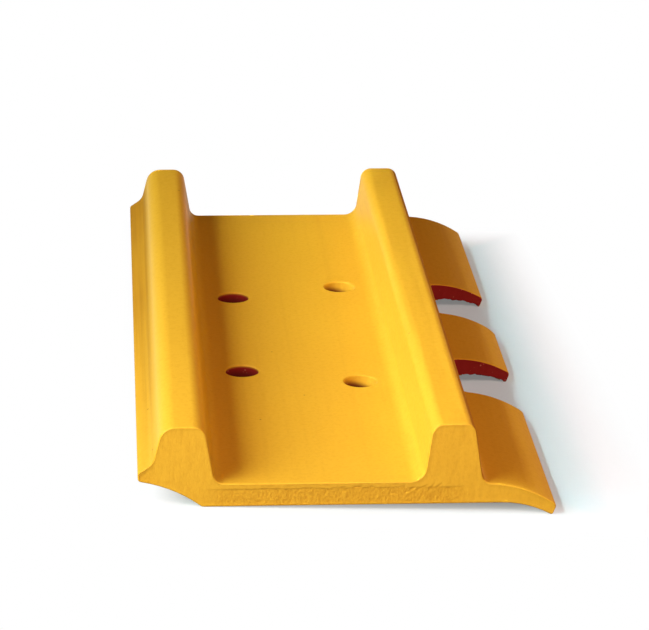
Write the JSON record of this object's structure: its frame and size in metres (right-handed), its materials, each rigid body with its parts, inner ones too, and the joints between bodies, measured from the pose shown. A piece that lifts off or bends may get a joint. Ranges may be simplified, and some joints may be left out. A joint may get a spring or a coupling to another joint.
{
  "type": "excavator track shoe",
  "caption": "Excavator track shoe: rolled steel plate with upright grouser bars, a raised leading lip, a curled and notched trailing lip, and holes that bolt it to the track links.",
  "frame": {"origin": "middle of the bolt pattern, on the flat underside that seats on the track links", "axes": "+X along the track towards the curled trailing lip, +Y across the track along the grousers, +Z away from the links towards the ground side, where the grousers stand"},
  "size_m": [0.2379, 0.5, 0.0561],
  "materials": {
    "yellow_paint": "satin yellow paint over rolled steel"
  },
  "bodies": {
    "root": {"track_shoe": "yellow_paint"}
  },
  "joints": []
}
